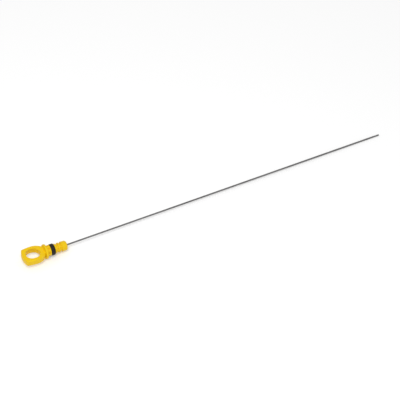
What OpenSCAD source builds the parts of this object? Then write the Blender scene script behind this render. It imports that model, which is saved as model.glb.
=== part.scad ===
// Engine oil dipstick: a moulded handle with a finger loop and a ribbed plug, a sealing
// ring in the plug's groove, and a gauge rod held in the plug's bore, which bends slightly
// where it leaves the plug. It lies at rest on the edge of its stop collar and on the tip
// of its rod, and the bend keeps the loop level. The origin is the centre of the collar's
// stop face, +X runs along the part to the rod's tip, +Y runs across the loop and +Z is up.
// All sizes are in millimetres.

/* [Finger loop] */
// Distance from the stop face to the loop's outer end
loop_length = 30.7; // [29:0.1:38]
// Greatest width of the loop
loop_width = 23.4; // [22:0.2:30]
// Distance from the stop face to where the loop is widest
loop_widest = 15; // [12:0.5:20]
// Width of the loop between its outer corners
loop_end_width = 20.8; // [16:0.2:22]
// How far the outer end bows out past its corners
loop_end_bow = 2.5; // [0.5:0.1:4]
// Width of the loop where it runs into the stop collar
loop_neck_width = 10; // [8:0.2:16]
// Thickness of the loop
loop_thickness = 8.4; // [5:0.1:10]
// Corner radius of the loop seen from above
loop_corner_r = 1.4; // [1.3:0.1:4]
// Rounding of the loop's upper and lower edges
loop_edge_r = 1.2; // [0.4:0.1:2]

/* [Finger hole] */
// Distance from the stop face to the hole
root_bar = 8.2; // [6:0.1:10]
// Width of the bar between the hole and the loop's outer end
end_bar = 4.8; // [4:0.1:7]
// Width of each bar beside the hole, where the loop is widest
side_bar = 4; // [3:0.1:6]
// Rounding of the hole's rims
hole_edge_r = 0.8; // [0.2:0.1:1.2]

/* [Stop collar and neck] */
// Diameter of the stop collar
collar_d = 18.4; // [16:0.2:24]
// Thickness of the stop collar
collar_thickness = 2.6; // [1.6:0.1:3.4]
// Chamfer on the collar's edges
collar_chamfer = 0.4; // [0.1:0.1:0.7]
// Diameter of the neck that enters the tube's mouth
neck_d = 13.4; // [12.8:0.1:13.7]
// Length of the neck from the stop face to the sealing ring
neck_length = 4.8; // [4.3:0.1:8]
// Number of moulding pockets round the neck
pocket_count = 8; // [4:1:10]
// Width of each pocket
pocket_width = 2.2; // [1:0.1:2.6]
// Length of each pocket along the neck
pocket_length = 2.4; // [1:0.1:2.8]
// Depth of each pocket
pocket_depth = 1.1; // [0.4:0.1:1.4]
// Wall left between the pockets and the sealing ring
pocket_wall = 0.9; // [0.6:0.1:1.4]

/* [Sealing ring] */
// Outer diameter of the sealing ring, which is squeezed in the tube
seal_d = 14.2; // [13.8:0.1:15]
// Width of the sealing ring along the plug
seal_width = 5.6; // [3.4:0.1:8]
// Diameter of the groove that the ring is stretched into
seal_groove_d = 9.8; // [7:0.1:11]
// Clearance between the ring and the floor and sides of its groove
seal_clearance = 0.1; // [0.08:0.01:0.2]
// Rounding of the ring's shoulders
seal_shoulder_r = 1.2; // [0.3:0.1:1.4]

/* [Ribbed plug] */
// Number of guide ribs between the sealing ring and the nose
rib_count = 2; // [1:1:4]
// Diameter of the guide ribs
rib_d = 12; // [10.6:0.1:12.6]
// Width of each guide rib
rib_width = 2.2; // [1:0.1:4]
// Width of the gap after each guide rib
rib_gap = 2.2; // [1:0.1:4]
// Diameter of the core between the ribs
core_d = 9.6; // [7:0.1:10]
// Chamfer on the edges of each rib
rib_chamfer = 0.3; // [0.1:0.1:0.4]
// Diameter of the nose
nose_d = 12.2; // [10.6:0.1:12.8]
// Length of the nose
nose_length = 7.4; // [6:0.1:12]
// Rounding of the nose's leading edge
nose_r = 2.4; // [0.5:0.1:2.8]

/* [Gauge rod] */
// Diameter of the rod
rod_d = 2; // [1.6:0.1:3]
// Length of the rod from the stop face to its tip
rod_reach = 457; // [300:1:700]
// Angle by which the rod bends up where it leaves the plug
rod_bend = 3; // [1:0.1:6]
// Depth of the plug's bore, which holds the rod's end
rod_seat = 20; // [10:0.5:24]
// Radial clearance round the rod in the bore
rod_clearance = 0.02; // [0.01:0.01:0.1]
// Distance from the tip to the lower level notch
low_notch = 5; // [3:0.5:20]
// Distance between the two level notches
notch_spacing = 22; // [10:0.5:60]
// Width of each level notch
notch_width = 1; // [0.5:0.1:2]
// Depth of each level notch
notch_depth = 0.3; // [0.1:0.05:0.5]
// Chamfer at the rod's tip
rod_chamfer = 0.3; // [0.1:0.05:0.5]

/* [Hidden] */
$fn = 64;
cut_over = 1;

// Stations along the axis, from the stop face towards the tip
seal_start = neck_length;
seal_end = seal_start + seal_width;
rib_pitch = rib_width + rib_gap;
nose_start = seal_end + rib_count * rib_pitch;
nose_end = nose_start + nose_length;
rod_start = nose_end - rod_seat;

// The part pitches down until the lower edge of the rod's tip lies as low as the collar's
straight_run = rod_reach - nose_end;
contact_run = straight_run - rod_chamfer;
tip_x = nose_end + contact_run * cos(rod_bend) + rod_d / 2 * sin(rod_bend);
tip_z = contact_run * sin(rod_bend) - rod_d / 2 * cos(rod_bend);
rest_pitch = atan((tip_z + collar_d / 2) / (tip_x + collar_chamfer));

// Plan outline of the loop: one side bows out to its widest point and back in to the collar
corner_x = -loop_length + loop_end_bow;
widest_x = -loop_widest;
loop_root_x = -collar_thickness / 2;
side_steps = 10;
end_steps = 12;
function half_width(x) = loop_width / 2 - (x < widest_x
    ? (loop_width - loop_end_width) / 2 * pow((widest_x - x) / (widest_x - corner_x), 2)
    : (loop_width - loop_neck_width) / 2 * pow((x - widest_x) / (loop_root_x - widest_x), 2));
side_x = [for (i = [0:side_steps]) corner_x + (loop_root_x - corner_x) * i / side_steps];
function end_point(t) =
    [corner_x - loop_end_bow * (1 - t * t), t * loop_end_width / 2];
loop_outline = concat(
    [for (x = side_x) [x, -half_width(x)]],
    [for (i = [0:side_steps]) let (x = side_x[side_steps - i]) [x, half_width(x)]],
    [for (i = [1:end_steps - 1]) end_point(1 - 2 * i / end_steps)]);

// The hole is a slot with fully round ends, which runs along the longer of its two sides
hole_length = loop_length - root_bar - end_bar;
hole_width = loop_width - 2 * side_bar;
hole_distance = root_bar + hole_length / 2;
slot_width = min(hole_length, hole_width);
slot_run = abs(hole_length - hole_width);
slot_turn = hole_length >= hole_width ? 0 : 90;

// Steps in which the edges of the loop and of its hole are rounded
edge_steps = 3;
edge_fn = 24;

module along_axis() {
    rotate([0, 90, 0]) children();
}

module loop_plan(inset) {
    offset(r = loop_corner_r - inset, $fn = edge_fn)
        offset(delta = -loop_corner_r)
            polygon(loop_outline);
}

// The loop without its hole: slabs that grow wider as they get thinner round its edges
module loop_blank() {
    hull()
        for (i = [0:edge_steps]) {
            angle = 90 * i / edge_steps;
            linear_extrude(loop_thickness - 2 * loop_edge_r * (1 - cos(angle)), center = true)
                loop_plan(loop_edge_r * (1 - sin(angle)));
        }
}

// A slot with round ends whose width changes evenly over its height
module flared_slot(height, low_width, high_width) {
    for (side = [-1, 1])
        translate([side * slot_run / 2, 0, 0])
            cylinder(d1 = low_width, d2 = high_width, h = height);
    rotate([90, 0, 90]) translate([0, 0, -slot_run / 2])
        linear_extrude(slot_run) polygon([
            [-low_width / 2, 0],
            [low_width / 2, 0],
            [high_width / 2, height],
            [-high_width / 2, height]
        ]);
}

// Widens the hole in steps towards the loop's upper face, which rounds the hole's rim
module hole_rim() {
    face_z = loop_thickness / 2;
    function rim_width(angle) = slot_width + 2 * hole_edge_r * (1 - cos(angle));
    function rim_z(angle) = face_z - hole_edge_r * (1 - sin(angle));
    for (i = [0:edge_steps - 1]) {
        low = 90 * i / edge_steps;
        high = 90 * (i + 1) / edge_steps;
        translate([0, 0, rim_z(low)])
            flared_slot(rim_z(high) - rim_z(low), rim_width(low), rim_width(high));
    }
    translate([0, 0, face_z]) flared_slot(cut_over, rim_width(90), rim_width(90));
}

module finger_hole() {
    reach = loop_thickness - 2 * hole_edge_r;
    translate([-hole_distance, 0, 0]) rotate([0, 0, slot_turn]) {
        translate([0, 0, -reach / 2]) flared_slot(reach, slot_width, slot_width);
        hole_rim();
        mirror([0, 0, 1]) hole_rim();
    }
}

module loop() {
    difference() {
        loop_blank();
        finger_hole();
    }
}

// Half profile of a disc along the axis with both of its edges chamfered
module disc_profile(start, width, radius, chamfer) {
    polygon([
        [0, start],
        [radius - chamfer, start],
        [radius, start + chamfer],
        [radius, start + width - chamfer],
        [radius - chamfer, start + width],
        [0, start + width]
    ]);
}

// Half profile of the nose, whose leading edge is a quarter round
module nose_profile() {
    translate([0, nose_start]) square([nose_d / 2, nose_length - nose_r]);
    translate([0, nose_start]) square([nose_d / 2 - nose_r, nose_length]);
    translate([nose_d / 2 - nose_r, nose_end - nose_r]) circle(r = nose_r);
}

module plug() {
    along_axis() rotate_extrude() {
        disc_profile(-collar_thickness, collar_thickness, collar_d / 2, collar_chamfer);
        square([neck_d / 2, neck_length]);
        translate([0, seal_start]) square([seal_groove_d / 2, seal_width]);
        translate([0, seal_end]) square([core_d / 2, nose_start - seal_end]);
        for (i = [0:rib_count - 1])
            disc_profile(seal_end + i * rib_pitch, rib_width, rib_d / 2, rib_chamfer);
        nose_profile();
    }
}

// Pockets that keep the thick neck from sinking as it cools in the mould
module neck_pockets() {
    for (i = [0:pocket_count - 1])
        rotate([360 / pocket_count * (i + 0.5), 0, 0])
            translate([seal_start - pocket_wall - pocket_length, -pocket_width / 2,
                neck_d / 2 - pocket_depth])
                cube([pocket_length, pocket_width, pocket_depth + cut_over]);
}

module rod_bore() {
    translate([rod_start, 0, 0]) along_axis()
        cylinder(d = rod_d + 2 * rod_clearance, h = rod_seat + cut_over);
}

module handle() {
    color("gold") at_rest() difference() {
        union() {
            loop();
            plug();
        }
        neck_pockets();
        rod_bore();
    }
}

// A wide ring with rounded shoulders and a plain bore, which fills its groove
module sealing_ring() {
    inner_r = seal_groove_d / 2 + seal_clearance;
    shoulder_at = seal_d / 2 - seal_shoulder_r;
    low = seal_start + seal_clearance;
    width = seal_width - 2 * seal_clearance;
    color("#262422") at_rest() along_axis() rotate_extrude() difference() {
        union() {
            translate([0, low]) square([shoulder_at, width]);
            translate([0, low + seal_shoulder_r])
                square([seal_d / 2, width - 2 * seal_shoulder_r]);
            for (x = [low + seal_shoulder_r, low + width - seal_shoulder_r])
                translate([shoulder_at, x]) circle(r = seal_shoulder_r);
        }
        translate([0, seal_start]) square([inner_r, seal_width]);
    }
}

// The rod's run to its tip, with two turned level notches; it starts short of the bend
module straight_wire() {
    along_axis() rotate_extrude() difference() {
        polygon([
            [0, -rod_d],
            [rod_d / 2, -rod_d],
            [rod_d / 2, straight_run - rod_chamfer],
            [rod_d / 2 - rod_chamfer, straight_run],
            [0, straight_run]
        ]);
        for (from_tip = [low_notch, low_notch + notch_spacing])
            translate([rod_d / 2 - notch_depth, straight_run - from_tip - notch_width / 2])
                square([notch_depth + cut_over, notch_width]);
    }
}

// The rod's run in the plug's bore, which ends past the bend
module seated_wire() {
    translate([-rod_seat, 0, 0]) along_axis() cylinder(d = rod_d, h = rod_seat + rod_d);
}

// The space before the plane that halves the bend
module before_bend() {
    reach = rod_seat + rod_d;
    rotate([0, -rod_bend / 2, 0]) translate([-reach, -rod_d, -2 * rod_d])
        cube([reach, 2 * rod_d, 4 * rod_d]);
}

module rod() {
    color("dimgray") at_rest() translate([nose_end, 0, 0]) {
        intersection() {
            seated_wire();
            before_bend();
        }
        difference() {
            rotate([0, -rod_bend, 0]) straight_wire();
            before_bend();
        }
    }
}

module at_rest() {
    rotate([0, rest_pitch, 0]) children();
}

handle();
sealing_ring();
rod();
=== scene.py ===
import math
from collections import namedtuple

import bpy
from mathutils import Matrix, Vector


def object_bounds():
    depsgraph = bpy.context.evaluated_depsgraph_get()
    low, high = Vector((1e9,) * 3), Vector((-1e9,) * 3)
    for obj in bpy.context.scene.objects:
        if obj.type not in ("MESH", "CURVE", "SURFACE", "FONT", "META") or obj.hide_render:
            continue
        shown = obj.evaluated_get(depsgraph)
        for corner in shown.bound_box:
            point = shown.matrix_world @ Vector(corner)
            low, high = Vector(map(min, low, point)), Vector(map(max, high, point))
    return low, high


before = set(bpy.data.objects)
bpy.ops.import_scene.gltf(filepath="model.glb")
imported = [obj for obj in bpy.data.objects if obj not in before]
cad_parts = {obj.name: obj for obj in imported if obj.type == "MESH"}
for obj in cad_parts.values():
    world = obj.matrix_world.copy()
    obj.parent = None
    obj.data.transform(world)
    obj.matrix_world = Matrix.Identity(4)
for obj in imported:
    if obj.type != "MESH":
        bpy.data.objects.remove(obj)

# The engine oil dipstick lies on its stop collar and on the tip of its rod, with its finger
# loop level. Lengths are in metres, or in millimetres where that is said.

MM = 0.001

# How far the handle and the rod dip as the part lies at rest
HANDLE_PITCH = math.radians(3.848)
ROD_PITCH = math.radians(0.848)

# A noise's stretch is one over the size of its grain in millimetres: along the part, across
# it and up. A range is the part of a noise that is spread over 0 to 1. A height is how deep
# a noise bends the surface, in millimetres.
Noise = namedtuple("Noise", "stretch detail roughness")

PLASTIC_COLOUR = (0.9, 0.6, 0.002)
PLASTIC_DEEP_COLOUR = (0.84, 0.53, 0.001)
PLASTIC_ROUGHNESS = (0.32, 0.44)
PLASTIC_ROUGHNESS_RANGE = (0.4, 1.4)
PLASTIC_IOR = 1.5
PLASTIC_SPECULAR = 0.25
CLOUDS = Noise((0.12, 0.12, 0.12), 3, 0.55)
CLOUD_RANGE = (0.35, 0.75)
FLOW_MARKS = Noise((0.05, 0.5, 0.5), 3, 0.55)
FLOW_MARK_HEIGHT = 0.07
PLASTIC_GRAIN = Noise((5, 5, 5), 3, 0.6)
PLASTIC_GRAIN_HEIGHT = 0.028
SCUFFS = Noise((0.9, 6, 6), 5, 0.7)
SCUFF_RANGE = (0.62, 0.72)
SCUFF_COLOUR = (0.93, 0.68, 0.06)
SCUFF_SHARE = 0.7
SCUFF_ROUGHNESS = 0.15

# Half the width of the line where the mould parts, and its height, in millimetres
SEAM_HALF_WIDTH = 0.11
SEAM_HEIGHT = 0.05

RUBBER_COLOUR = (0.012, 0.0075, 0.005)
RUBBER_ROUGHNESS = (0.5, 0.68)
RUBBER_ROUGHNESS_RANGE = (0.3, 1.4)
RUBBER_IOR = 1.5
RUBBER_SPECULAR = 0.28
RUBBER_GRAIN = Noise((6, 6, 6), 4, 0.65)
RUBBER_GRAIN_HEIGHT = 0.03
BLOOM = Noise((0.35, 0.35, 0.35), 5, 0.65)
BLOOM_RANGE = (0.45, 0.8)
BLOOM_COLOUR = (0.024, 0.017, 0.014)
SPECKS = Noise((2.4, 2.4, 2.4), 4, 0.7)
SPECK_RANGE = (0.66, 0.74)
SPECK_COLOUR = (0.05, 0.043, 0.038)

STEEL_COLOUR = (0.22, 0.214, 0.213)
STEEL_ROUGHNESS = (0.28, 0.46)
STEEL_ROUGHNESS_RANGE = (0.3, 1.4)
WIRE_LINES = Noise((0.05, 9, 9), 4, 0.6)
WIRE_LINE_HEIGHT = 0.02
OXIDE = Noise((0.06, 0.5, 0.5), 4, 0.6)
OXIDE_RANGE = (0.4, 0.75)
OXIDE_COLOUR = (0.14, 0.137, 0.135)
TONE = Noise((0.012, 0.1, 0.1), 1, 0.55)
TONE_RANGE = (0.35, 0.65)
PALE_COLOUR = (0.34, 0.335, 0.33)
PALE_SHARE = 0.3

# The floor's own colour, and the light that it adds where the camera sees it
FLOOR_SIZE = 6.0
FLOOR_COLOUR = (0.88, 0.88, 0.88)
FLOOR_LIFT = 0.205

# The camera's place, its turn in degrees, its lens and sensor in millimetres, and how near
# and how far it sees
CAMERA_LOCATION = (-0.59821, -1.64231, 2.02236)
CAMERA_TURN = (42.0, 0.0, -26.08)
CAMERA_LENS = 200.0
CAMERA_SENSOR = 36.0
CAMERA_NEAR = 0.1
CAMERA_FAR = 20.0

# Where the softbox hangs, the point on the rod that it faces, its side and its power in watts
SOFTBOX_LOCATION = (-0.382, -0.691, 1.574)
SOFTBOX_AIM = (0.15, 0, 0)
SOFTBOX_SIZE = 0.9
SOFTBOX_POWER = 14.5
ROOM_LIGHT = 0.6


def corners():
    """The corners of what is shown, as plain lists of numbers."""
    low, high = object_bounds()
    return [[float(v) for v in low], [float(v) for v in high]]


class Shader:
    """A material's node tree, with short calls that add and join its nodes."""

    def __init__(self, name, pitch=0.0):
        self.pitch = pitch
        self.material = bpy.data.materials.new(name)
        self.material.use_nodes = True
        self.tree = self.material.node_tree
        self.tree.nodes.clear()
        self.output = self.tree.nodes.new("ShaderNodeOutputMaterial")

    def join(self, source, target):
        """Leads one node's output into another's input."""
        self.tree.links.new(source, target)

    def place(self, stretch):
        """Coordinates along the part's own axes, in millimetres times stretch."""
        coordinates = self.tree.nodes.new("ShaderNodeTexCoord")
        turn = self.tree.nodes.new("ShaderNodeMapping")
        turn.vector_type = "TEXTURE"
        turn.inputs["Rotation"].default_value = (0, self.pitch, 0)
        self.join(coordinates.outputs["Object"], turn.inputs["Vector"])
        scale = self.tree.nodes.new("ShaderNodeMapping")
        scale.inputs["Scale"].default_value = [s / MM for s in stretch]
        self.join(turn.outputs["Vector"], scale.inputs["Vector"])
        return scale.outputs["Vector"]

    def noise(self, kind):
        """Noise of one kind, from 0 to 1."""
        node = self.tree.nodes.new("ShaderNodeTexNoise")
        node.inputs["Scale"].default_value = 1.0
        node.inputs["Detail"].default_value = kind.detail
        node.inputs["Roughness"].default_value = kind.roughness
        self.join(self.place(kind.stretch), node.inputs["Vector"])
        return node.outputs["Fac"]

    def spread(self, value, low, high, start=0.0, end=1.0):
        """The value remapped from low..high to start..end, and held at both ends."""
        node = self.tree.nodes.new("ShaderNodeMapRange")
        node.inputs["From Min"].default_value = low
        node.inputs["From Max"].default_value = high
        node.inputs["To Min"].default_value = start
        node.inputs["To Max"].default_value = end
        self.join(value, node.inputs["Value"])
        return node.outputs["Result"]

    def sum(self, first, second):
        """Two values added."""
        node = self.tree.nodes.new("ShaderNodeMath")
        self.join(first, node.inputs[0])
        self.join(second, node.inputs[1])
        return node.outputs["Value"]

    def seam(self):
        """1 where the mould's halves met, on the plane halfway up the part, and 0 off it."""
        split = self.tree.nodes.new("ShaderNodeSeparateXYZ")
        self.join(self.place((1, 1, 1)), split.inputs["Vector"])
        distance = self.tree.nodes.new("ShaderNodeMath")
        distance.operation = "ABSOLUTE"
        self.join(split.outputs["Z"], distance.inputs[0])
        return self.spread(distance.outputs["Value"], 0, SEAM_HALF_WIDTH, 1, 0)

    def between(self, value, first, second):
        """A colour that goes from first to second as the value goes from 0 to 1.

        The first may be a fixed colour or another node's output.
        """
        node = self.tree.nodes.new("ShaderNodeMix")
        node.data_type = "RGBA"
        if isinstance(first, tuple):
            node.inputs["A"].default_value = (*first, 1)
        else:
            self.join(first, node.inputs["A"])
        node.inputs["B"].default_value = (*second, 1)
        self.join(value, node.inputs["Factor"])
        return node.outputs["Result"]

    def bump(self, shape, height, below=None):
        """A normal bent by a shape from 0 to 1 that stands height millimetres proud."""
        node = self.tree.nodes.new("ShaderNodeBump")
        node.inputs["Strength"].default_value = 1.0
        node.inputs["Distance"].default_value = height * MM
        self.join(shape, node.inputs["Height"])
        if below is not None:
            self.join(below, node.inputs["Normal"])
        return node.outputs["Normal"]

    def surface(self, colour, roughness, normal, **constants):
        """The finished material. The constants are inputs, with _ for each space."""
        node = self.tree.nodes.new("ShaderNodeBsdfPrincipled")
        for name, value in constants.items():
            node.inputs[name.replace("_", " ")].default_value = value
        self.join(colour, node.inputs["Base Color"])
        self.join(roughness, node.inputs["Roughness"])
        self.join(normal, node.inputs["Normal"])
        self.join(node.outputs["BSDF"], self.output.inputs["Surface"])
        return self.material


def plastic():
    """Moulded yellow plastic: clouded colour, flow marks, grain, faint scuffs and a seam."""
    shader = Shader("moulded_yellow_plastic", HANDLE_PITCH)
    clouds = shader.spread(shader.noise(CLOUDS), *CLOUD_RANGE)
    flow = shader.noise(FLOW_MARKS)
    grain = shader.noise(PLASTIC_GRAIN)
    scuffs = shader.spread(shader.noise(SCUFFS), *SCUFF_RANGE)
    colour = shader.between(clouds, PLASTIC_COLOUR, PLASTIC_DEEP_COLOUR)
    colour = shader.between(shader.spread(scuffs, 0, 1, 0, SCUFF_SHARE), colour, SCUFF_COLOUR)
    roughness = shader.sum(clouds, grain)
    roughness = shader.spread(roughness, *PLASTIC_ROUGHNESS_RANGE, *PLASTIC_ROUGHNESS)
    roughness = shader.sum(roughness, shader.spread(scuffs, 0, 1, 0, SCUFF_ROUGHNESS))
    normal = shader.bump(flow, FLOW_MARK_HEIGHT)
    normal = shader.bump(grain, PLASTIC_GRAIN_HEIGHT, normal)
    normal = shader.bump(shader.seam(), SEAM_HEIGHT, normal)
    return shader.surface(colour, roughness, normal, IOR=PLASTIC_IOR,
                          Specular_IOR_Level=PLASTIC_SPECULAR)


def rubber():
    """Black moulded rubber: a dull skin with fine grain, a little bloom and some specks."""
    shader = Shader("black_seal_rubber", HANDLE_PITCH)
    bloom = shader.spread(shader.noise(BLOOM), *BLOOM_RANGE)
    specks = shader.spread(shader.noise(SPECKS), *SPECK_RANGE)
    grain = shader.noise(RUBBER_GRAIN)
    colour = shader.between(bloom, RUBBER_COLOUR, BLOOM_COLOUR)
    colour = shader.between(specks, colour, SPECK_COLOUR)
    roughness = shader.sum(bloom, grain)
    roughness = shader.spread(roughness, *RUBBER_ROUGHNESS_RANGE, *RUBBER_ROUGHNESS)
    normal = shader.bump(grain, RUBBER_GRAIN_HEIGHT)
    return shader.surface(colour, roughness, normal, IOR=RUBBER_IOR,
                          Specular_IOR_Level=RUBBER_SPECULAR)


def steel():
    """Dark drawn wire: fine lines along its length, cloudy oxide and slow changes of tone."""
    shader = Shader("drawn_steel_wire", ROD_PITCH)
    lines = shader.noise(WIRE_LINES)
    oxide = shader.spread(shader.noise(OXIDE), *OXIDE_RANGE)
    tone = shader.spread(shader.noise(TONE), *TONE_RANGE, 0, PALE_SHARE)
    colour = shader.between(oxide, STEEL_COLOUR, OXIDE_COLOUR)
    colour = shader.between(tone, colour, PALE_COLOUR)
    roughness = shader.sum(lines, oxide)
    roughness = shader.spread(roughness, *STEEL_ROUGHNESS_RANGE, *STEEL_ROUGHNESS)
    normal = shader.bump(lines, WIRE_LINE_HEIGHT)
    return shader.surface(colour, roughness, normal, Metallic=1.0)


def floor_material():
    """Pale board that shows white to the camera and to what reflects it, under its shadow."""
    shader = Shader("studio_floor")
    nodes = shader.tree.nodes
    board = nodes.new("ShaderNodeBsdfDiffuse")
    board.inputs["Color"].default_value = (*FLOOR_COLOUR, 1)
    glow = nodes.new("ShaderNodeEmission")
    path = nodes.new("ShaderNodeLightPath")
    seen = shader.sum(path.outputs["Is Camera Ray"], path.outputs["Is Glossy Ray"])
    seen = shader.sum(seen, path.outputs["Is Transmission Ray"])
    shader.join(shader.spread(seen, 0, 1, 0, FLOOR_LIFT), glow.inputs["Strength"])
    both = nodes.new("ShaderNodeAddShader")
    shader.join(board.outputs["BSDF"], both.inputs[0])
    shader.join(glow.outputs["Emission"], both.inputs[1])
    shader.join(both.outputs["Shader"], shader.output.inputs["Surface"])
    return shader.material


def paint(node, material):
    """Gives a CAD node its material."""
    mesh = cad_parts[node].data
    mesh.materials.clear()
    mesh.materials.append(material)


def make_floor(height):
    """A square board under the part, at the height of its lowest point."""
    half = FLOOR_SIZE / 2
    points = [(-half, -half, height), (half, -half, height), (half, half, height),
              (-half, half, height)]
    mesh = bpy.data.meshes.new("studio_floor")
    mesh.from_pydata(points, [], [(0, 1, 2, 3)])
    mesh.materials.append(floor_material())
    floor = bpy.data.objects.new("studio_floor", mesh)
    bpy.context.scene.collection.objects.link(floor)


def make_camera():
    """A long lens that looks down on the part as the photo does."""
    data = bpy.data.cameras.new("photo_camera")
    data.lens = CAMERA_LENS
    data.sensor_width = CAMERA_SENSOR
    data.clip_start = CAMERA_NEAR
    data.clip_end = CAMERA_FAR
    camera = bpy.data.objects.new("photo_camera", data)
    camera.location = CAMERA_LOCATION
    camera.rotation_euler = [math.radians(a) for a in CAMERA_TURN]
    bpy.context.scene.collection.objects.link(camera)
    bpy.context.scene.camera = camera


def make_softbox():
    """A large soft lamp, near the camera and above it."""
    data = bpy.data.lights.new("softbox", "AREA")
    data.shape = "SQUARE"
    data.size = SOFTBOX_SIZE
    data.energy = SOFTBOX_POWER
    light = bpy.data.objects.new("softbox", data)
    light.location = SOFTBOX_LOCATION
    away = Vector(SOFTBOX_LOCATION) - Vector(SOFTBOX_AIM)
    light.rotation_euler = away.to_track_quat("Z", "Y").to_euler()
    bpy.context.scene.collection.objects.link(light)


def light_room():
    """Even white light from all sides."""
    world = bpy.data.worlds.new("studio_room")
    world.use_nodes = True
    background = world.node_tree.nodes["Background"]
    background.inputs["Color"].default_value = (1, 1, 1, 1)
    background.inputs["Strength"].default_value = ROOM_LIGHT
    bpy.context.scene.world = world


def main():
    """Dresses and lights the part."""
    cad_box = corners()
    paint("handle", plastic())
    paint("sealing_ring", rubber())
    paint("rod", steel())
    make_floor(cad_box[0][2])
    make_camera()
    make_softbox()
    light_room()
    bpy.context.scene.view_settings.view_transform = "Standard"


main()
